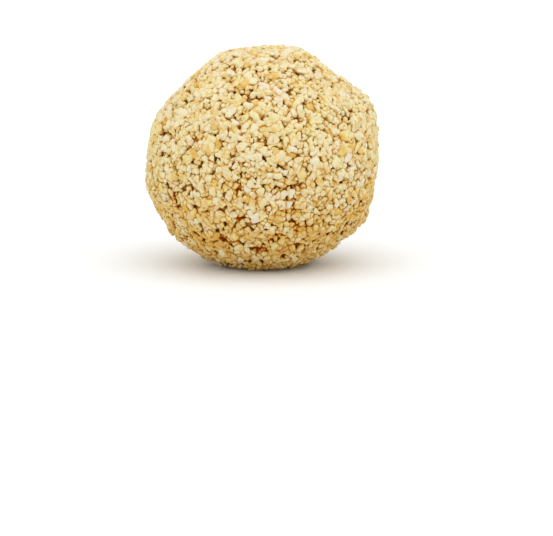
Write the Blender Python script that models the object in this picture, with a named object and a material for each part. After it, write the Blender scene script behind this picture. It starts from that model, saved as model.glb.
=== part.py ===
"""Amaranth ladoo: a hand-rolled ball of popped amaranth grains bound with cooked jaggery.

One solid. Metres, +Z up. The origin is the middle of the flat spot that the ball rests on, and the
side that is shown looks along -Y. Run it with: blender --background --python part.py
"""

import math
import random

import bmesh
import bpy
from mathutils import Vector, noise

# Driving dimensions
BALL_WIDTH = 0.0520  # left to right, over the grains
BALL_DEPTH = 0.0510  # front to back, over the grains
BALL_HEIGHT = 0.0487  # from the table to the crown
REST_SPOT = 0.0160  # across the flat spot underneath
GRAIN = 0.0017  # a popped grain

# The grains are bumps of about their own size, as many as the mesh can carry: six facets to a bump
BUMPS = 1950
BUMP_JITTER = 0.30  # how far a bump strays from an even spacing, in spacings
PEAK_RISE = (0.20 * GRAIN, 0.42 * GRAIN)  # a grain's top above the packed surface, least and most
GAP_SINK = (0.20 * GRAIN, 0.38 * GRAIN)  # the gap between grains below it, least and most

# Where the palms left the ball full or flat: bearing round +Z from +X, angle above the middle,
# spread of the form (all in degrees) and how far it stands out (metres, negative where flat)
PALM_FORMS = {
    "right shoulder": (5, 25, 14, 0.0014),
    "shoulder dip": (10, 47, 9, -0.0011),
    "right hip": (-6, -31, 10, 0.0014),
    "right crown": (35, 73, 12, 0.0007),
    "left crown": (157, 66, 8, 0.0003),
    "upper left flat": (171, 41, 17, -0.0025),
    "left waist": (179, 5, 8, -0.0006),
    "left hip": (183, -17, 11, 0.0011),
    "left heel": (188, -40, 12, 0.0010),
    "front brow": (-70, 38, 24, 0.0005),
    "front left flat": (-135, 8, 22, -0.0006),
    "front chin": (-85, -28, 26, 0.0006),
    "back left bulge": (128, 6, 28, 0.0008),
    "back flat": (80, 22, 24, -0.0012),
    "back right hip": (45, -25, 22, 0.0007),
}
UNEVENNESS = 0.00035  # of a hand-rolled surface, either way
UNEVEN_ACROSS = 0.0080  # the size of its dents and swells
SEED = 7


def towards(bearing, above):
    """The unit vector at these angles, in degrees."""
    turn, rise = math.radians(bearing), math.radians(above)
    return Vector((math.cos(turn) * math.cos(rise), math.sin(turn) * math.cos(rise), math.sin(rise)))


def packed_radius(way):
    """From the ball's middle to its packed surface along the unit vector way, before the grains.

    Below the middle the ball is a little longer, so that it keeps its height once its flat spot is
    pressed.
    """
    half_width = BALL_WIDTH / 2 - PEAK_RISE[1]
    half_depth = BALL_DEPTH / 2 - PEAK_RISE[1]
    half_height = BALL_HEIGHT / 2 - PEAK_RISE[1]
    if way.z < 0:
        half_height = BALL_HEIGHT / 2 / math.sqrt(1 - (REST_SPOT / 2 / half_width) ** 2)
    scaled = Vector((way.x / half_width, way.y / half_depth, way.z / half_height))
    radius = 1 / scaled.length
    for bearing, above, spread, swell in PALM_FORMS.values():
        apart = math.degrees(way.angle(towards(bearing, above)))
        radius += swell * math.exp(-((apart / spread) ** 2))
    return radius + UNEVENNESS * noise.noise(way * (BALL_WIDTH / UNEVEN_ACROSS))


def bump_ways(draw):
    """Unit vectors to the bumps: a golden-angle spiral, each point then moved a little."""
    spacing = math.sqrt(4 * math.pi / BUMPS)
    golden_angle = math.pi * (3 - math.sqrt(5))
    ways = []
    for n in range(BUMPS):
        height = 1 - (2 * n + 1) / BUMPS
        across = math.sqrt(1 - height * height)
        turn = golden_angle * n
        way = Vector((across * math.cos(turn), across * math.sin(turn), height))
        stray = Vector([draw.uniform(-1, 1) for _ in range(3)]) * BUMP_JITTER * spacing
        ways.append((way + stray).normalized())
    return ways


def grain_skin(draw):
    """The bumpy closed surface round the ball's centre.

    The hull of points on a sphere joins each bump to its neighbours. A gap point goes in the middle
    of each of its triangles, and each of its edges becomes the two facets that slope from a bump at
    either end down to the gap points at either side.
    """
    net = bmesh.new()
    for way in bump_ways(draw):
        net.verts.new(way)
    bmesh.ops.convex_hull(net, input=net.verts)

    skin = bmesh.new()
    peaks = {}
    for vert in net.verts:
        way = vert.co.normalized()
        peaks[vert] = skin.verts.new(way * (packed_radius(way) + draw.uniform(*PEAK_RISE)))
    gaps = {}
    for face in net.faces:
        way = face.calc_center_median().normalized()
        gaps[face] = skin.verts.new(way * (packed_radius(way) - draw.uniform(*GAP_SINK)))
    for edge in net.edges:
        near, far = (gaps[face] for face in edge.link_faces)
        for vert in edge.verts:
            skin.faces.new((peaks[vert], near, far))
    net.free()
    bmesh.ops.recalc_face_normals(skin, faces=skin.faces)
    return skin


def press_rest_spot(skin):
    """Stands the ball on the table, with the grains that would reach below it pressed flat."""
    table = -BALL_HEIGHT / 2
    for vert in skin.verts:
        vert.co.z = max(vert.co.z, table) - table


def centre_on_origin(skin):
    """Puts the middle of the ball's width and depth over the origin."""
    for axis in (0, 1):
        places = [vert.co[axis] for vert in skin.verts]
        middle = (min(places) + max(places)) / 2
        for vert in skin.verts:
            vert.co[axis] -= middle


def popped_grain_material():
    material = bpy.data.materials.new("popped_grain")
    material.use_nodes = True
    shader = material.node_tree.nodes["Principled BSDF"]
    shader.inputs["Base Color"].default_value = (0.80, 0.64, 0.36, 1)
    shader.inputs["Roughness"].default_value = 0.6
    shader.inputs["Metallic"].default_value = 0
    return material


def make_ladoo():
    draw = random.Random(SEED)
    skin = grain_skin(draw)
    press_rest_spot(skin)
    centre_on_origin(skin)
    mesh = bpy.data.meshes.new("ladoo")
    skin.to_mesh(mesh)
    skin.free()
    mesh.shade_smooth()
    mesh.materials.append(popped_grain_material())
    ladoo = bpy.data.objects.new("ladoo", mesh)
    bpy.context.scene.collection.objects.link(ladoo)


for old in list(bpy.data.objects):
    bpy.data.objects.remove(old)
make_ladoo()
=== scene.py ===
"""Amaranth ladoo, dressed: popped grains in cooked jaggery over the solid's own form.

Metres, +Z up, in the solid's own frame. The shown side looks along -Y. Grains are packed in a shell
over the solid's smoothed form, each grain is a ball of swollen lobes, and the jaggery is a surface
under them.
"""

import math

import bmesh
import bpy
import numpy as np
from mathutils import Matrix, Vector, kdtree
from mathutils import noise as noise_3d


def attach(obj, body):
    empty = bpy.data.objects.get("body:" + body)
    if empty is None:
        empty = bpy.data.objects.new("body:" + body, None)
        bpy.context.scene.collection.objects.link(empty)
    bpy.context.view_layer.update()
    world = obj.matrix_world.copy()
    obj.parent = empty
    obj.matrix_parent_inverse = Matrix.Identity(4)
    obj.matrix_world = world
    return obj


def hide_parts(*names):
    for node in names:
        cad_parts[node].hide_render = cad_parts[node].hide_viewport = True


MM = 0.001
SEED = 11
TINY = 1e-6  # the least length that anything is divided by

# ---- The photograph's frame and the camera -------------------------------------------------------

FRAME_PX = (553, 536)
LADOO_AT_PX = (261.75, 154.9)  # the middle of its outline in the photograph
MM_PER_PX = 52.0 / 235.5
CAMERA_DISTANCE = 0.60
CAMERA_SENSOR_MM = 36
CAMERA_NEAREST = 0.01  # what lies nearer to the camera isn't shown
CAMERA_PITCH = math.radians(10)
FORWARD = Vector((0, math.cos(CAMERA_PITCH), -math.sin(CAMERA_PITCH)))
RIGHT = Vector((1, 0, 0))
UP = Vector((0, math.sin(CAMERA_PITCH), math.cos(CAMERA_PITCH)))
SIGHT_ROUNDS = 4  # of closing in on the place that a pixel shows

# ---- How the grains are packed -------------------------------------------------------------------

GRAINS = 11800
GRAIN_SIZES = (0.65 * MM, 1.10 * MM, 2.10 * MM)  # across: least, usual and most
SHELL = 1.6 * MM  # how deep under the form the separate grains go
SEAT = 0.03  # the least depth of a grain's middle on the whole, in its own widths
SEAT_SPREAD = 0.10  # from grain to grain
TOUCHING = 0.75  # how far apart packed grains settle, in their mean widths
PACKING_ROUNDS = 36
PUSH = 0.30  # of an overlap that each grain gives way by in a round
PAIRING_ROUNDS = 6  # the rounds after which the pairs that may touch are listed again
PAIRING_REACH = 1.3 * GRAIN_SIZES[2]  # how far apart such a pair may be
PIT_PUSH = 0.5  # of the way out of a pit, gone in a round
TABLE_LIFT = 0.38  # the least height of a grain's middle over the table, in its own widths
TABLE_SPREAD = 0.06 * MM  # how unevenly the table presses grains flat
STAND_OUT = 1.15 * MM  # the most that palms leave a grain above the form
FLAT_STAND_OUT = 0.75 * MM  # what a point on the table counts as, which keeps syrup off it

LARGE = 1.40 * MM  # a grain from this size up gets the finest mesh
LARGE_CUTS = 3  # across each side of the cube that a grain's mesh is blown up from
SMALL_CUTS = 2
LEAST_CUTS = 1  # of grains half hidden, and crumbs
TOP_DEPTH = 0.75 * MM  # a grain whose middle lies deeper than this is only glimpsed
UNDER_DEPTH = 1.2 * MM  # and past this it is hidden

CRUMBS = 500
CRUMB_TRIES = 12  # places looked at for each crumb
CRUMB_NEIGHBOURS = 4  # the nearest grains, which say how wide the gap there is
CRUMB_SIZES = (0.6 * MM, 0.9 * MM, 1.3 * MM)
CRUMB_DEPTHS = (0.10 * MM, 0.60 * MM)  # under the form

# ---- A grain -------------------------------------------------------------------------------------

LOBES = 8
LOBE_OFFSETS = (0.26, 0.44)  # of a lobe's middle from its grain's, in the grain's widths
LOBE_SIZES = (0.17, 0.27)  # a lobe's radius, likewise
HEART_SIZE = 0.34  # the radius of the grain's own middle, likewise
FOLD_SHARPNESS = 55  # of the creases between lobes
FOLD_WIDTH = 0.035  # of the painted shade along them, in the grain's widths
STRETCH = 0.17  # how uneven a grain is in its three directions
SWELL = 1.36  # a grain against the room that it is packed in
REACH = 0.60  # how far a grain reaches from its middle on the whole, in its own widths
NET_TILTS = (0, math.radians(135), math.pi)  # of a grain's even net from its outward side, drawn
OUTWARD_TILTS = (0, math.radians(95), math.pi)  # in to these, for a closer mesh where it shows

# ---- The ball's relief and its jaggery -----------------------------------------------------------

FORM_STEPS = (180, 91)  # of the form's table, round and up
FORM_BLUR = math.radians(2.2)  # wide enough to take the solid's own bumps out
CLUMP_RELIEF = 0.06 * MM  # clumps of grains stand a little out, and hollows lie between them
CLUMP_ACROSS = 4.0 * MM

BINDER_DEPTH = 0.75 * MM  # under the form
BINDER_RELIEF = 0.25 * MM
BINDER_BUMP_ACROSS = 1.3 * MM
BINDER_OVER_TABLE = 0.02 * MM
BINDER_CUTS = 6  # halvings of the icosahedron that it is made from
HOLES = 350  # the places where it lies deeper still
HOLE_HALF_WIDTHS = (0.35 * MM, 0.75 * MM)
HOLE_DEPTH = 1.5 * MM

NEIGHBOURS = 14  # the most grains that can touch one
ITSELF = GRAIN_SIZES[0] / 10  # the neighbour found nearer than this is the grain itself
CREVICE_WIDTH = 0.12 * MM  # how far syrup and painted shade reach from where two grains meet
SUNK_FROM = 1.15 * MM  # the height above the form where a grain isn't sunken at all
SUNK = 2.0 * MM  # the depth below that where it is sunken most

# What stands out on the face, by the photograph's pixels: its creases, dark pits between grains,
# and the whitest and most toasted grains
CREASES_PX = (
    ((233, 126), (241, 127), (250, 126)),
    ((244, 128), (241, 136), (238, 145), (232, 152), (231, 164)),
)
CREASE_DEPTH = 0.45 * MM
CREASE_HALF_WIDTH = 0.40 * MM
CREASE_STEPS = 8  # from one of its points to the next
PITS_PX = (
    (277, 168), (281, 172), (293, 187), (314, 188), (320, 189), (330, 188), (317, 211), (317, 217),
    (279, 234), (220, 231), (164, 212), (287, 99), (297, 83), (325, 69), (204, 168), (349, 120),
    (360, 140), (315, 129), (212, 196), (233, 191), (173, 140), (341, 184), (264, 190), (285, 242),
    (362, 171), (229, 264), (302, 112),
)
OTHER_PITS = 110  # anywhere on the ball
PIT_HALF_WIDTH = 0.15 * MM  # between the grains
PIT_IN_BINDER = 0.7 * MM  # its half width in the jaggery below them
WHITE_PX = (
    (278, 95), (282, 97), (281, 100), (235, 130), (231, 138), (327, 123), (274, 142), (312, 159),
    (285, 172), (287, 180), (268, 196), (252, 214), (247, 236), (191, 175), (175, 145), (266, 72),
    (245, 69), (360, 187), (341, 121), (226, 97), (242, 195),
)
TOASTED_PX = (
    (161, 122), (164, 125), (218, 147), (200, 88), (362, 206), (336, 212), (218, 247), (274, 81),
    (261, 147), (311, 110), (279, 153), (215, 158),
)

# ---- Colours -------------------------------------------------------------------------------------

# Each kind of large grain: its share, its deep and pale tints, and the noise from which its scraps
# of hull show
KINDS = {
    "white_grains": (0.11, (0.79, 0.71, 0.55), (0.81, 0.735, 0.615), 0.64),
    "ivory_grains": (0.25, (0.78, 0.70, 0.48), (0.81, 0.74, 0.54), 0.60),
    "cream_grains": (0.28, (0.77, 0.68, 0.42), (0.80, 0.72, 0.48), 0.57),
    "straw_grains": (0.22, (0.76, 0.66, 0.37), (0.79, 0.70, 0.43), 0.54),
    "golden_grains": (0.11, (0.74, 0.60, 0.26), (0.78, 0.66, 0.35), 0.50),
    "toasted_grains": (0.03, (0.58, 0.34, 0.07), (0.70, 0.46, 0.14), 0.46),
}
# The same for the small grains, which are shared out evenly, and for those half hidden and crumbs
SMALL_KINDS = {
    "small_ivory_grains": ((0.78, 0.70, 0.47), (0.81, 0.74, 0.55), 0.59),
    "small_cream_grains": ((0.76, 0.67, 0.40), (0.80, 0.71, 0.47), 0.56),
    "small_golden_grains": ((0.75, 0.61, 0.31), (0.79, 0.68, 0.41), 0.51),
}
# More golden than the open grains: partly syrup, partly painted warm light down between them
UNDER = ((0.75, 0.62, 0.31), (0.80, 0.70, 0.42), 0.52)

FOLD_SHADE_GOLD = (0.79, 0.53, 0.12)
SYRUP_AND_SHADE = (0.66, 0.27, 0.010)
DEEP_SYRUP_AND_SHADE = (0.27, 0.030, 0.001)
JAGGERY = ((0.48, 0.17, 0.010), (0.64, 0.30, 0.035))
FLOOR_WHITE = (0.90, 0.91, 0.91)

# Tints: the colour, the value of a noise or mark where it starts, the one where it is full, and how
# much of it there is then
# Painted shade: a darker gold in the dips between foam cells and in the creases between a grain's lobes
FOAM_EDGE_SHADE = (FOLD_SHADE_GOLD, 0.52, 0.80, 0.25)
FOLD_SHADE = (FOLD_SHADE_GOLD, 0.25, 1.0, 0.25)
LEMON = ((0.77, 0.70, 0.33), 0.50, 0.66, 0.60)
DRY = ((0.79, 0.73, 0.52), 0.54, 0.38, 0.50)
HONEY = ((0.75, 0.57, 0.20), 0.56, 0.72, 0.65)
AMBER = ((0.66, 0.38, 0.095), 0.62, 0.86, 0.80)
HULL_GOLD = (0.73, 0.43, 0.08)
HULL_FADE = 0.14  # from where a scrap of hull starts to where it is full
HULL_MOST = 0.85
# Where grains meet: syrup in the crevices, partly painted shade there
CREVICE = (0.40, 1.0)  # where a crevice starts and is full
CREVICE_GOLD = ((0.76, 0.53, 0.14), *CREVICE, 0.20)
CREVICE_AMBER = ((0.60, 0.30, 0.030), 0.58, 0.70, 0.80)
CREVICE_BROWN = ((0.44, 0.170, 0.006), 0.41, 0.65, 0.95)
# Painted shade, partly syrup: grains darker and redder the deeper they lie between the others
SUNKEN_SYRUP_AND_SHADE = (
    (FOLD_SHADE_GOLD, 0.57, 0.71, 0.50),
    (SYRUP_AND_SHADE, 0.69, 0.82, 0.95),
    (DEEP_SYRUP_AND_SHADE, 0.76, 0.91, 1.0),
)
# Jaggery darker down in its holes: partly thicker syrup, partly painted shade
SUNKEN_JAGGERY_AND_SHADE = (
    (SYRUP_AND_SHADE, 0.15, 0.5, 1.0),
    (DEEP_SYRUP_AND_SHADE, 0.5, 1.0, 1.0),
)
MOTTLE_GREYS = (0.90, 1.0)  # what a grain's own tint is multiplied by

# The scales of the noises, per metre
LEMON_PATCH = 230
SYRUP_PATCH = 300
HONEY_PATCH = 320
HULL_SCRAP = 700
JAGGERY_PATCH = 800
MOTTLE = 1300
GLOSS_PATCH = 1600
FOAM = 1800
GRIT = 4200
FINE = 3  # the detail of a noise that has more than the usual
NOISE_RANGE = (0.3, 0.7)  # nearly all values of a noise
FOAM_SMOOTHNESS = 0.4

# How the surface takes light
FOAM_RELIEF = 0.15 * MM
GRIT_RELIEF = 0.04 * MM
GRAIN_ROUGHNESS = (0.50, 0.80)
GRAIN_SPECULAR = 0.05
JAGGERY_ROUGHNESS = (0.6, 0.3)  # on the open surface, and in its holes
JAGGERY_GLOSSY = 0.6  # how sunken it is where it is glossiest
JAGGERY_SPECULAR = 0.15

# Painted light: down in a gap a grain's colour is warmed and its blue cut, standing in for light that
# finds its way in and is warmed by the grains round it
GAP_REACH = 1.0 * MM
GAP_SAMPLES = 8
GAP_LIGHT = (0.95, 0.30)  # the share of open light where a gap starts and where it is full
PAINTED_GAP_WARMTH = (1.18, 0.95, 0.44)

# Darker, more amber patches and fuller gaps lower down, partly syrup that drains downwards and partly
# painted shade from below: what this adds to a patch's noise at the first height and at the second
DRAIN_AND_SHADE_HEIGHTS = (48 * MM, 8 * MM)
DRAIN_AND_SHADE_LEAST = -0.06
DRAIN_AND_SHADE_MOST = 0.28  # more than the least
DRAIN_AND_SHADE_STEEPNESS = 2
SYRUP_AND_SHADE_RISE = 0.7  # of that: how much fuller of syrup gaps are there, and how much darker with painted shade

# ---- Light and floor -----------------------------------------------------------------------------

SKY_STRENGTH = 0.83
KEY_TOWARDS = (0.12, -0.55, 1.0)
KEY_STRENGTH = 1.48
KEY_SPREAD = math.radians(100)
FLOOR_ROUGHNESS = 0.8
FLOOR_HALF_WIDTHS = (0.02, 0.42, 0.82, 1.22, 1.62)  # of the rings in its flat part
WALL_HALF_WIDTH = 2.6
WALL_HEIGHT = 1.4
WALL_STEPS = 12
FLOOR_SECTORS = 96


def unit(vectors):
    return vectors / np.linalg.norm(vectors, axis=-1, keepdims=True)


def bumps(places):
    """Smooth noise, about -1 to 1, at each place."""
    flat = [noise_3d.noise(Vector(place)) for place in places.reshape(-1, 3)]
    return np.reshape(flat, places.shape[:-1])


# ---- The ball's form -----------------------------------------------------------------------------


class Form:
    """The ball's smooth form, read from the solid, with its creases and pits."""

    def __init__(self, solid, draw):
        points = np.array([v.co for v in solid.data.vertices], float)
        self.middle = (points.min(0) + points.max(0)) / 2
        self.radii = self.smoothed(points - self.middle)
        self.mean = np.mean(self.radii)
        self.creases = [self.along([self.seen_at(px) for px in line]) for line in CREASES_PX]
        shown = np.array([self.seen_at(px) for px in PITS_PX])
        self.pits = np.concatenate([shown, unit(draw.normal(size=(OTHER_PITS, 3)))])

    @staticmethod
    def smoothed(spokes):
        """The solid's radii in even steps round and up, without its bumps."""
        radii = np.linalg.norm(spokes, axis=1)
        ways = spokes / radii[:, None]
        round_steps, up_steps = FORM_STEPS
        bearings = np.linspace(-math.pi, math.pi, round_steps, endpoint=False)
        rises = np.linspace(-math.pi / 2, math.pi / 2, up_steps)
        table = np.empty((up_steps, round_steps))
        for row, rise in enumerate(rises):
            flat = np.stack([np.cos(bearings), np.sin(bearings)], 1) * math.cos(rise)
            towards = np.column_stack([flat, np.full(round_steps, math.sin(rise))])
            weight = np.exp((towards @ ways.T - 1) / FORM_BLUR**2)
            table[row] = weight @ radii / weight.sum(1)
        return table

    def smooth_radius(self, ways):
        """The form's radius along unit vectors, between the table's entries."""
        up_steps, round_steps = self.radii.shape
        bearing = np.arctan2(ways[..., 1], ways[..., 0])
        rise = np.arcsin(np.clip(ways[..., 2], -1, 1))
        across = (bearing + math.pi) / (2 * math.pi) * round_steps
        up = (rise + math.pi / 2) / math.pi * (up_steps - 1)
        left = np.floor(across).astype(int)
        low = np.minimum(np.floor(up).astype(int), up_steps - 2)
        right_share, high_share = across - left, up - low
        left, right = left % round_steps, (left + 1) % round_steps
        lower = self.radii[low, left] * (1 - right_share) + self.radii[low, right] * right_share
        upper = self.radii[low + 1, left] * (1 - right_share) + self.radii[low + 1, right] * right_share
        return lower * (1 - high_share) + upper * high_share

    def dent(self, ways, spots, half_width, depth):
        """How deep a dent round these spots goes along unit vectors."""
        nearest_spot = np.max(ways @ spots.T, axis=-1)
        away = np.sqrt(np.maximum(2 - 2 * nearest_spot, 0)) * self.mean
        return depth * np.exp(-((away / half_width) ** 2))

    def radius(self, ways):
        """The radius that grains are packed to: the smooth one with clumps and creases."""
        clumps = bumps(ways * (self.mean / CLUMP_ACROSS))
        creased = [self.dent(ways, line, CREASE_HALF_WIDTH, CREASE_DEPTH) for line in self.creases]
        return self.smooth_radius(ways) - np.max(creased, axis=0) + CLUMP_RELIEF * clumps

    def seen_at(self, px):
        """The unit vector to the place on the form that the photograph shows at this pixel."""
        across = (px[0] - LADOO_AT_PX[0]) * MM_PER_PX * MM
        above = (LADOO_AT_PX[1] - px[1]) * MM_PER_PX * MM
        radius = self.mean
        for _ in range(SIGHT_ROUNDS):
            towards = math.sqrt(max(radius**2 - across**2 - above**2, 0))
            way = unit(np.array(RIGHT * across + UP * above - FORWARD * towards))
            radius = float(self.smooth_radius(way))
        return way

    @staticmethod
    def along(ways):
        """Unit vectors every small step along the line through these."""
        steps = np.linspace(0, 1, CREASE_STEPS)[:, None]
        return unit(np.concatenate([a * (1 - steps) + b * steps for a, b in zip(ways, ways[1:])]))


# ---- Packing -------------------------------------------------------------------------------------


def tree_of(middles):
    """A tree for finding the nearest of these points."""
    tree = kdtree.KDTree(len(middles))
    for number, middle in enumerate(middles):
        tree.insert(middle, number)
    tree.balance()
    return tree


def pairs_within(middles, reach):
    """Every pair of grains whose middles lie within reach, as two rows of numbers."""
    tree = tree_of(middles)
    pairs = []
    for number, middle in enumerate(middles):
        near = [other for _, other, _ in tree.find_range(middle, reach)]
        pairs += [(number, other) for other in near if other > number]
    return np.array(sorted(pairs)).T


def nearest(middles, places, count):
    """The nearest grains to each place, and how far away they are."""
    tree = tree_of(middles)
    found = [tree.find_n(place, count) for place in places]
    numbers = np.array([[number for _, number, _ in row] for row in found])
    distances = np.array([[distance for *_, distance in row] for row in found])
    return numbers, distances


def pushed_apart(middles, across, pairs):
    """Middles after one round in which grains that overlap push each other away."""
    one, other = pairs
    apart = middles[other] - middles[one]
    distance = np.maximum(np.linalg.norm(apart, axis=1), TINY)
    rest = (across[one] + across[other]) / 2 * TOUCHING
    overlap = np.maximum(rest - distance, 0) * PUSH
    push = apart / distance[:, None] * overlap[:, None]
    for axis in range(3):
        middles[:, axis] += np.bincount(other, push[:, axis], len(middles))
        middles[:, axis] -= np.bincount(one, push[:, axis], len(middles))
    return middles


def clear_of_pits(spokes, across, pits):
    """Spokes pushed aside, part of the way that is needed, where their grains would cover a pit."""
    for pit in pits:
        along = spokes @ pit
        aside = spokes - along[:, None] * pit
        distance = np.maximum(np.linalg.norm(aside, axis=1), TINY)
        lacking = np.maximum(REACH * across + PIT_HALF_WIDTH - distance, 0) * (along > 0)
        spokes = spokes + aside / distance[:, None] * (lacking * PIT_PUSH)[:, None]
    return spokes


def packed_grains(form, draw):
    """Middles, widths and depths of the grains in the ball's shell, settled as if under palms."""
    across = draw.triangular(*GRAIN_SIZES, GRAINS)
    ways = unit(draw.normal(size=(GRAINS, 3)))
    depth = draw.uniform(0, SHELL, GRAINS)
    middles = form.middle + ways * (form.radius(ways) - depth)[:, None]
    seat = across * draw.normal(SEAT, SEAT_SPREAD, GRAINS)
    for step in range(PACKING_ROUNDS):
        if step % PAIRING_ROUNDS == 0:
            pairs = pairs_within(middles, PAIRING_REACH)
        middles = pushed_apart(middles, across, pairs)
        spokes = clear_of_pits(middles - form.middle, across, form.pits)
        radius = np.linalg.norm(spokes, axis=1)
        ways = spokes / radius[:, None]
        surface = form.radius(ways)
        radius = np.clip(radius, surface - SHELL, surface - seat)
        middles = form.middle + ways * radius[:, None]
        middles[:, 2] = np.maximum(middles[:, 2], TABLE_LIFT * across)
    return middles, across, surface - radius


def crumbs(form, middles, across, draw):
    """Middles and widths of broken bits in the widest gaps between the grains, no two in a cell."""
    tries = CRUMBS * CRUMB_TRIES
    ways = unit(draw.normal(size=(tries, 3)))
    depth = draw.uniform(*CRUMB_DEPTHS, tries)
    places = form.middle + ways * (form.radius(ways) - depth)[:, None]
    near, distance = nearest(middles, places, CRUMB_NEIGHBOURS)
    clear = (distance - across[near] / 2).min(1)
    width = draw.triangular(*CRUMB_SIZES, tries)
    cells = (places // CRUMB_SIZES[1]).astype(int)
    kept = {}
    for number in np.argsort(-clear):
        if len(kept) < CRUMBS:
            kept.setdefault(tuple(cells[number]), number)
    kept = list(kept.values())
    places[:, 2] = np.maximum(places[:, 2], TABLE_LIFT * width)
    return places[kept], width[kept]


# ---- Grain shapes --------------------------------------------------------------------------------


def ball_net(cuts):
    """A cube cut into even squares and blown up to a unit ball: its points and its squares."""
    net = bmesh.new()
    bmesh.ops.create_cube(net, size=2)
    bmesh.ops.subdivide_edges(net, edges=net.edges, cuts=cuts, use_grid_fill=True)
    points = unit(np.tan(np.array([v.co for v in net.verts]) * math.pi / 4))
    faces = np.array([[v.index for v in f.verts] for f in net.faces])
    net.free()
    return points, faces


def upright(ways, draw):
    """Rotation matrices that stand each grain's own Z along ways, spun at random."""
    side = unit(np.cross(ways, draw.normal(size=ways.shape)))
    return np.stack([side, np.cross(ways, side), ways], 2)


def outward(ball):
    """The ball's points drawn towards its +Z side."""
    tilt = np.arccos(np.clip(ball[:, 2], -1, 1))
    drawn = np.interp(tilt, NET_TILTS, OUTWARD_TILTS)
    across = np.maximum(np.hypot(ball[:, 0], ball[:, 1]), TINY)
    return np.column_stack([ball[:, :2] * (np.sin(drawn) / across)[:, None], np.cos(drawn)])


def popped(directions, count, draw):
    """How far popped grains about 1 across reach along directions: swollen lobes round a heart.

    With it comes how near each direction is to a crease between lobes.
    """
    offsets = draw.normal(size=(count, LOBES, 3))
    middles = unit(offsets) * draw.uniform(*LOBE_OFFSETS, (count, LOBES, 1))
    sizes = draw.uniform(*LOBE_SIZES, (count, LOBES))
    along = np.einsum("nvi,nli->nvl", directions, middles)
    under_root = along**2 + (sizes**2 - (middles**2).sum(2))[:, None]
    reach = np.where(under_root > 0, along + np.sqrt(np.maximum(under_root, 0)), 0)
    reach = np.concatenate([reach, np.full(reach.shape[:2] + (1,), HEART_SIZE)], 2)
    second, first = np.moveaxis(np.partition(reach, -2, axis=2)[..., -2:], 2, 0)
    fold = np.exp(-(first - second) / FOLD_WIDTH)
    return np.log(np.exp(reach * FOLD_SHARPNESS).sum(2)) / FOLD_SHARPNESS, fold


def stretched(points, count, draw):
    """Each grain's points stretched along three random axes."""
    axes = upright(unit(draw.normal(size=(count, 3))), draw)
    by = np.exp(draw.normal(0, STRETCH, (count, 3)))
    by /= by.prod(1, keepdims=True) ** (1 / 3)
    return np.einsum("nij,nj,nkj,nvk->nvi", axes, by, axes, points)


def pressed_in(form, points, table):
    """Points pressed in by the palms and the table, and how far each then stands out."""
    spokes = points - form.middle
    radius = np.linalg.norm(spokes, axis=2)
    spokes /= radius[..., None]
    above = radius - form.smooth_radius(spokes)
    squeezed = STAND_OUT * (1 - np.exp(-np.maximum(above, 0) / STAND_OUT))
    pressed = np.where(above > 0, squeezed, above)
    points = form.middle + spokes * (radius - above + pressed)[..., None]
    points[..., 2] = np.maximum(points[..., 2], table)
    return points, np.maximum(pressed, FLAT_STAND_OUT - points[..., 2])


def built(form, middles, widths, ball, draw):
    """The grains' points, pressed in, with how near a fold and how deep each point is."""
    count = len(middles)
    ways = unit(middles - form.middle)
    directions = np.einsum("nij,vj->nvi", upright(ways, draw), outward(ball))
    reach, fold = popped(directions, count, draw)
    local = stretched(directions * (reach * widths[:, None] * SWELL)[..., None], count, draw)
    table = draw.uniform(0, TABLE_SPREAD, (count, 1))
    points, above = pressed_in(form, middles[:, None] + local, table)
    return points, fold, (SUNK_FROM - above) / SUNK


def crevice(points, centres, middles, across):
    """1 where grains round the centres meet the other packed grains, less the further they are."""
    near, distance = nearest(middles, centres, NEIGHBOURS)
    closest = np.full(points.shape[:2], np.inf)
    for column in range(NEIGHBOURS):
        other = near[:, column]
        gap = np.linalg.norm(points - middles[other][:, None], axis=2)
        gap -= (REACH * across[other])[:, None]
        gap[distance[:, column] < ITSELF] = np.inf
        closest = np.minimum(closest, gap)
    return np.exp(-np.maximum(closest, 0) / CREVICE_WIDTH)


def piece(name, points, faces, marks, material):
    """One mesh of many grains, with its marks: values for each point by name."""
    grains, per_grain = points.shape[:2]
    offsets = np.arange(grains)[:, None, None] * per_grain
    corners = (faces[None] + offsets).reshape(-1)
    sides = faces.shape[1]
    mesh = bpy.data.meshes.new(name)
    mesh.vertices.add(grains * per_grain)
    mesh.vertices.foreach_set("co", points.astype(np.float32).ravel())
    mesh.loops.add(len(corners))
    mesh.loops.foreach_set("vertex_index", corners.astype(np.int32))
    mesh.polygons.add(len(corners) // sides)
    mesh.polygons.foreach_set("loop_start", np.arange(0, len(corners), sides, dtype=np.int32))
    for mark_name, values in marks.items():
        layer = mesh.attributes.new(mark_name, "FLOAT", "POINT")
        layer.data.foreach_set("value", values.astype(np.float32).ravel())
    mesh.update(calc_edges=True)
    mesh.shade_smooth()
    mesh.materials.append(material)
    obj = bpy.data.objects.new(name, mesh)
    bpy.context.scene.collection.objects.link(obj)
    return obj


# ---- Material nodes ------------------------------------------------------------------------------


def new_material(name):
    """A material with its node tree and its shader."""
    material = bpy.data.materials.new(name)
    material.use_nodes = True
    return material, material.node_tree, material.node_tree.nodes["Principled BSDF"]


def node(tree, kind, **settings):
    made = tree.nodes.new(kind)
    for name, value in settings.items():
        setattr(made, name, value)
    return made


def object_place(tree):
    return node(tree, "ShaderNodeTexCoord").outputs["Object"]


def mark(tree, name):
    return node(tree, "ShaderNodeAttribute", attribute_name=name).outputs["Fac"]


def grey(value):
    return (value, value, value)


def ramp(tree, fac, low, high):
    """From one colour to another; low and high are a value of fac and its colour."""
    made = node(tree, "ShaderNodeValToRGB")
    for element, (place, colour) in zip(made.color_ramp.elements, (low, high)):
        element.position = place
        element.color = (*colour, 1)
    tree.links.new(fac, made.inputs["Fac"])
    return made.outputs["Color"]


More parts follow.
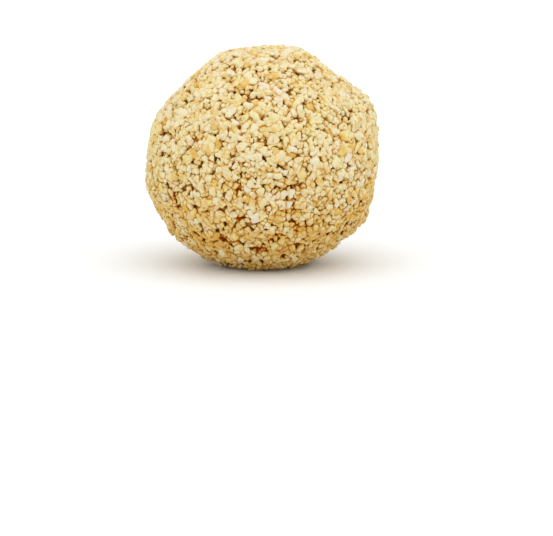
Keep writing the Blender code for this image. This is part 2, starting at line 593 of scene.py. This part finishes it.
def mask(tree, fac, start, end, most=1.0):
    """0 where fac is start, most where it is end, and the same beyond; either may be the lower."""
    return ramp(tree, fac, *sorted([(start, grey(0)), (end, grey(most))]))


def varied(tree, fac, low, high):
    """From one colour to another over the values that a noise takes."""
    start, end = NOISE_RANGE
    return ramp(tree, fac, (start, low), (end, high))


def feed(tree, socket, value):
    """Links the socket to a node's output, or sets it to a colour or number."""
    if isinstance(value, bpy.types.NodeSocket):
        tree.links.new(value, socket)
    elif isinstance(value, tuple):
        socket.default_value = (*value, 1)
    else:
        socket.default_value = value


def maths(tree, operation, a, b):
    made = node(tree, "ShaderNodeMath", operation=operation)
    feed(tree, made.inputs[0], a)
    feed(tree, made.inputs[1], b)
    return made.outputs[0]


def mix(tree, fac, a, b, blend="MIX"):
    made = node(tree, "ShaderNodeMix", data_type="RGBA", blend_type=blend)
    sockets = {socket.identifier: socket for socket in [*made.inputs, *made.outputs]}
    feed(tree, sockets["Factor_Float"], fac)
    feed(tree, sockets["A_Color"], a)
    feed(tree, sockets["B_Color"], b)
    return sockets["Result_Color"]


def noise(tree, vector, scale, detail=2.0):
    made = node(tree, "ShaderNodeTexNoise")
    made.inputs["Scale"].default_value = scale
    made.inputs["Detail"].default_value = detail
    tree.links.new(vector, made.inputs["Vector"])
    return made.outputs["Fac"]


def cells(tree, vector, scale):
    """How far each point is from the middle of its cell, of the size 1 / scale."""
    made = node(tree, "ShaderNodeTexVoronoi", feature="SMOOTH_F1")
    made.inputs["Scale"].default_value = scale
    made.inputs["Smoothness"].default_value = FOAM_SMOOTHNESS
    tree.links.new(vector, made.inputs["Vector"])
    return made.outputs["Distance"]


def dips(tree, height, relief, under=None):
    """A normal that dips by relief where height is high, over another bump's normal."""
    made = node(tree, "ShaderNodeBump", invert=True)
    made.inputs["Distance"].default_value = relief
    tree.links.new(height, made.inputs["Height"])
    if under is not None:
        tree.links.new(under, made.inputs["Normal"])
    return made.outputs["Normal"]


def painted_gap_mask(tree):
    """0 on the open surface and 1 down in the gaps, by how much of the sky the near grains hide: where
    the painted gap warmth goes.
    """
    made = node(tree, "ShaderNodeAmbientOcclusion", samples=GAP_SAMPLES)
    made.inputs["Distance"].default_value = GAP_REACH
    return mask(tree, made.outputs["AO"], *GAP_LIGHT)


def tinted(tree, colour, fac, tint, within=None):
    """The colour with a tint over it where fac says, and only within a mask where one is given."""
    over, *shows = tint
    where = mask(tree, fac, *shows)
    if within is not None:
        where = maths(tree, "MULTIPLY", within, where)
    return mix(tree, where, colour, over)


# ---- Materials -----------------------------------------------------------------------------------


def drained_and_shaded(tree, place):
    """What the height above the table adds to a patch's noise: partly drained syrup, partly painted shade
    lower down.
    """
    parts = node(tree, "ShaderNodeSeparateXYZ")
    tree.links.new(place, parts.inputs["Vector"])
    down = node(tree, "ShaderNodeMapRange")
    top, bottom = DRAIN_AND_SHADE_HEIGHTS
    down.inputs["From Min"].default_value = top
    down.inputs["From Max"].default_value = bottom
    tree.links.new(parts.outputs["Z"], down.inputs["Value"])
    share = maths(tree, "POWER", down.outputs["Result"], DRAIN_AND_SHADE_STEEPNESS)
    more = maths(tree, "MULTIPLY", share, DRAIN_AND_SHADE_MOST)
    return maths(tree, "ADD", more, DRAIN_AND_SHADE_LEAST)


def patched(tree, colour, place, drain_and_shade):
    """The colour with lemon patches, dry ones and, more of them lower down, honey and amber ones, these
    partly syrup and partly painted shade.
    """
    colour = tinted(tree, colour, noise(tree, place, LEMON_PATCH), LEMON)
    honey = maths(tree, "ADD", noise(tree, place, HONEY_PATCH, FINE), drain_and_shade)
    for tint in (DRY, HONEY, AMBER):
        colour = tinted(tree, colour, honey, tint)
    return colour


def in_syrup_and_shade(tree, colour, place, drain_and_shade):
    """The colour of a grain with syrup and painted shade in its crevices and round its sunken sides."""
    meeting = mark(tree, "crevice")
    # Syrup and painted shade where grains meet
    colour = tinted(tree, colour, meeting, CREVICE_GOLD)
    crevice = mask(tree, meeting, *CREVICE)
    patch = maths(tree, "ADD", noise(tree, place, SYRUP_PATCH), drain_and_shade)
    colour = tinted(tree, colour, patch, CREVICE_AMBER, crevice)
    # Gaps lower down count as deeper: partly drained syrup, partly painted shade from below
    sunk = maths(tree, "ADD", mark(tree, "sunk"), maths(tree, "MULTIPLY", drain_and_shade, SYRUP_AND_SHADE_RISE))
    colour = tinted(tree, colour, sunk, CREVICE_BROWN, crevice)
    # Darker and redder the deeper: partly syrup, partly painted shade
    for tint in SUNKEN_SYRUP_AND_SHADE:
        colour = tinted(tree, colour, sunk, tint)
    return colour


def grain_colour(tree, place, foam, deep, pale, hull_from):
    """A tint of the grain's own, painted shade in its foam and folds, patches that are partly painted
    shade lower down, scraps of golden hull, painted warmth in gaps, and syrup partly painted as shade.
    """
    colour = ramp(tree, mark(tree, "tint"), (0, deep), (1, pale))
    mottle = varied(tree, noise(tree, place, MOTTLE), *map(grey, MOTTLE_GREYS))
    colour = mix(tree, 1.0, colour, mottle, "MULTIPLY")
    # Painted shade in the foam's dips
    colour = tinted(tree, colour, foam, FOAM_EDGE_SHADE)
    drain_and_shade = drained_and_shaded(tree, place)
    colour = patched(tree, colour, place, drain_and_shade)
    hull = (HULL_GOLD, hull_from, hull_from + HULL_FADE, HULL_MOST)
    colour = tinted(tree, colour, noise(tree, place, HULL_SCRAP, FINE), hull)
    # Painted shade in the creases between lobes
    colour = tinted(tree, colour, mark(tree, "fold"), FOLD_SHADE)
    # Painted light: gaps warmed in colour where the near grains hide the sky
    colour = mix(tree, painted_gap_mask(tree), colour, PAINTED_GAP_WARMTH, "MULTIPLY")
    return in_syrup_and_shade(tree, colour, place, drain_and_shade)


def grain_material(name, deep, pale, hull_from):
    """Popped grain, between its deep and pale tints, with hull where its noise is over hull_from."""
    material, tree, shader = new_material(name)
    place = object_place(tree)
    foam = cells(tree, place, FOAM)
    colour = grain_colour(tree, place, foam, deep, pale, hull_from)
    tree.links.new(colour, shader.inputs["Base Color"])
    rough = varied(tree, noise(tree, place, GLOSS_PATCH), *map(grey, GRAIN_ROUGHNESS))
    tree.links.new(rough, shader.inputs["Roughness"])
    shader.inputs["Specular IOR Level"].default_value = GRAIN_SPECULAR
    relief = dips(tree, foam, FOAM_RELIEF)
    relief = dips(tree, noise(tree, place, GRIT), GRIT_RELIEF, relief)
    tree.links.new(relief, shader.inputs["Normal"])
    return material


def binder_material():
    """Jaggery with fine crumb in it: amber where it is thin, dark and glossy down in the gaps, the dark
    partly thicker syrup and partly painted shade.
    """
    material, tree, shader = new_material("jaggery")
    place = object_place(tree)
    sunk = mark(tree, "sunk")
    colour = varied(tree, noise(tree, place, JAGGERY_PATCH, FINE), *JAGGERY)
    for tint in SUNKEN_JAGGERY_AND_SHADE:
        colour = tinted(tree, colour, sunk, tint)
    tree.links.new(colour, shader.inputs["Base Color"])
    open_rough, deep_rough = map(grey, JAGGERY_ROUGHNESS)
    rough = ramp(tree, sunk, (0, open_rough), (JAGGERY_GLOSSY, deep_rough))
    tree.links.new(rough, shader.inputs["Roughness"])
    shader.inputs["Specular IOR Level"].default_value = JAGGERY_SPECULAR
    tree.links.new(dips(tree, cells(tree, place, FOAM), FOAM_RELIEF), shader.inputs["Normal"])
    return material


# ---- The ladoo -----------------------------------------------------------------------------------


def binder(form, draw):
    """The jaggery and crumb between the grains, with holes here and there."""
    net = bmesh.new()
    bmesh.ops.create_icosphere(net, subdivisions=BINDER_CUTS, radius=1)
    ways = unit(np.array([v.co for v in net.verts]))
    faces = np.array([[v.index for v in f.verts] for f in net.faces])
    net.free()
    holes = unit(draw.normal(size=(HOLES, 3)))
    half_widths = draw.uniform(*HOLE_HALF_WIDTHS, HOLES)
    away = np.sqrt(np.maximum(2 - 2 * ways @ holes.T, 0)) * form.mean
    hole = HOLE_DEPTH * np.exp(-((away / half_widths) ** 2)).max(1)
    pit = form.dent(ways, form.pits, PIT_IN_BINDER, HOLE_DEPTH)
    relief = BINDER_RELIEF * bumps(ways * (form.mean / BINDER_BUMP_ACROSS))
    below = relief + np.maximum(hole, pit)
    points = form.middle + ways * (form.smooth_radius(ways) - BINDER_DEPTH - below)[:, None]
    points[:, 2] = np.maximum(points[:, 2], BINDER_OVER_TABLE)
    marks = {"sunk": below[None] / HOLE_DEPTH}
    return piece("jaggery_binder", points[None], faces, marks, binder_material())


def kinds_of(form, middles, draw):
    """Which kind each grain is: at random, but for those that stand out in the photograph."""
    names = list(KINDS)
    limits = np.cumsum([share for share, *_ in KINDS.values()])
    kind = np.searchsorted(limits / limits[-1], draw.random(len(middles)))
    ways = unit(middles - form.middle)
    for name, spots in (("white_grains", WHITE_PX), ("toasted_grains", TOASTED_PX)):
        for px in spots:
            kind[np.argmax(ways @ form.seen_at(px))] = names.index(name)
    return kind


def grain_piece(form, packed, name, middles, widths, cuts, tints, draw):
    """One piece of grains with these middles and widths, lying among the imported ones."""
    ball, faces = ball_net(cuts)
    points, fold, sunk = built(form, middles, widths, ball, draw)
    marks = {
        "tint": np.repeat(draw.random(len(middles))[:, None], len(ball), 1),
        "fold": fold,
        "sunk": sunk,
        "crevice": crevice(points, middles, *packed),
    }
    return piece(name, points, faces, marks, grain_material(name, *tints))


def groups_of(form, middles, across, depth, draw):
    """The grains to build, by piece: its name, which grains, the cuts of their mesh and its tints."""
    top = depth < TOP_DEPTH
    large = np.flatnonzero(top & (across > LARGE))
    small = np.flatnonzero(top & (across <= LARGE))
    under = np.flatnonzero(~top & (depth < UNDER_DEPTH))
    kind = kinds_of(form, middles[large], draw)
    groups = []
    for number, (name, (_, *tints)) in enumerate(KINDS.items()):
        groups.append((name, large[kind == number], LARGE_CUTS, tints))
    for number, (name, tints) in enumerate(SMALL_KINDS.items()):
        groups.append((name, small[number :: len(SMALL_KINDS)], SMALL_CUTS, tints))
    return [*groups, ("under_grains", under, LEAST_CUTS, UNDER)]


def make_ladoo(form, draw):
    """The jaggery and the grains: the large ones by kind, the small, the half hidden, the crumbs."""
    middles, across, depth = packed_grains(form, draw)
    packed = (middles, across)
    groups = groups_of(form, middles, across, depth, draw)
    bits = crumbs(form, middles, across, draw)
    pieces = [binder(form, draw)]
    for name, chosen, cuts, tints in groups:
        grains = (middles[chosen], across[chosen])
        pieces.append(grain_piece(form, packed, name, *grains, cuts, tints, draw))
    pieces.append(grain_piece(form, packed, "crumbs", *bits, LEAST_CUTS, UNDER, draw))

    for made in pieces:
        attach(made, "root")
        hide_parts("ladoo")


# ---- The studio ----------------------------------------------------------------------------------


def floor_rings():
    """Half widths and heights of the rings that the floor and its wall are made of."""
    rings = [(half_width, 0.0) for half_width in FLOOR_HALF_WIDTHS]
    flat = FLOOR_HALF_WIDTHS[-1]
    for step in range(1, WALL_STEPS + 1):
        turn = math.pi / 2 * step / WALL_STEPS
        out = (WALL_HALF_WIDTH - flat) * math.sin(turn)
        rings.append((flat + out, WALL_HEIGHT * (1 - math.cos(turn))))
    return rings


def floor_mesh():
    net = bmesh.new()
    turns = [2 * math.pi * n / FLOOR_SECTORS for n in range(FLOOR_SECTORS)]
    loops = []
    for radius, height in floor_rings():
        loops.append([net.verts.new((radius * math.cos(a), radius * math.sin(a), height)) for a in turns])
    net.faces.new(loops[0])
    for low, high in zip(loops, loops[1:]):
        for n in range(FLOOR_SECTORS):
            net.faces.new((low[n - 1], low[n], high[n], high[n - 1]))
    bmesh.ops.recalc_face_normals(net, faces=net.faces)
    bmesh.ops.reverse_faces(net, faces=net.faces)
    mesh = bpy.data.meshes.new("floor")
    net.to_mesh(mesh)
    net.free()
    mesh.shade_smooth()
    return mesh


def stage_floor():
    """A round white floor that curves up into a wall all round."""
    mesh = floor_mesh()
    material, _, shader = new_material("floor")
    shader.inputs["Base Color"].default_value = (*FLOOR_WHITE, 1)
    shader.inputs["Roughness"].default_value = FLOOR_ROUGHNESS
    mesh.materials.append(material)
    obj = bpy.data.objects.new("floor", mesh)
    bpy.context.scene.collection.objects.link(obj)


def key_light():
    """Even light from a broad patch of sky, high in front of the ladoo."""
    data = bpy.data.lights.new("key", "SUN")
    data.angle = KEY_SPREAD
    data.energy = KEY_STRENGTH
    obj = bpy.data.objects.new("key", data)
    obj.rotation_euler = Vector(KEY_TOWARDS).to_track_quat("Z", "Y").to_euler()
    bpy.context.scene.collection.objects.link(obj)


def studio():
    world = bpy.data.worlds.new("studio")
    world.use_nodes = True
    sky = world.node_tree.nodes["Background"]
    sky.inputs["Color"].default_value = (1, 1, 1, 1)
    sky.inputs["Strength"].default_value = SKY_STRENGTH
    bpy.context.scene.world = world
    bpy.context.scene.view_settings.view_transform = "Standard"
    key_light()
    stage_floor()


def camera(middle):
    """Looks at the middle of the photograph, from which the ladoo lies up and to the left."""
    data = bpy.data.cameras.new("camera")
    data.sensor_width = CAMERA_SENSOR_MM
    data.lens = data.sensor_width * CAMERA_DISTANCE / (FRAME_PX[0] * MM_PER_PX * MM)
    data.clip_start = CAMERA_NEAREST
    right_px = FRAME_PX[0] / 2 - LADOO_AT_PX[0]
    down_px = FRAME_PX[1] / 2 - LADOO_AT_PX[1]
    aim = Vector(middle) + (RIGHT * right_px - UP * down_px) * MM_PER_PX * MM
    obj = bpy.data.objects.new("camera", data)
    obj.location = aim - FORWARD * CAMERA_DISTANCE
    obj.rotation_euler = FORWARD.to_track_quat("-Z", "Y").to_euler()
    bpy.context.scene.collection.objects.link(obj)
    bpy.context.scene.camera = obj


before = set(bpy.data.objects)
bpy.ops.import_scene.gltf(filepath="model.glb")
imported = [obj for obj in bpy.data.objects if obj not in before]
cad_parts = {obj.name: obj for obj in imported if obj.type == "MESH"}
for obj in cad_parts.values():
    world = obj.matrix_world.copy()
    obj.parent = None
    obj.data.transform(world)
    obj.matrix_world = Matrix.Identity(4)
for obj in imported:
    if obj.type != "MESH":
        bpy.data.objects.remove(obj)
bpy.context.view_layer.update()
draw = np.random.default_rng(SEED)
form = Form(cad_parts["ladoo"], draw)
make_ladoo(form, draw)
studio()
camera(form.middle)
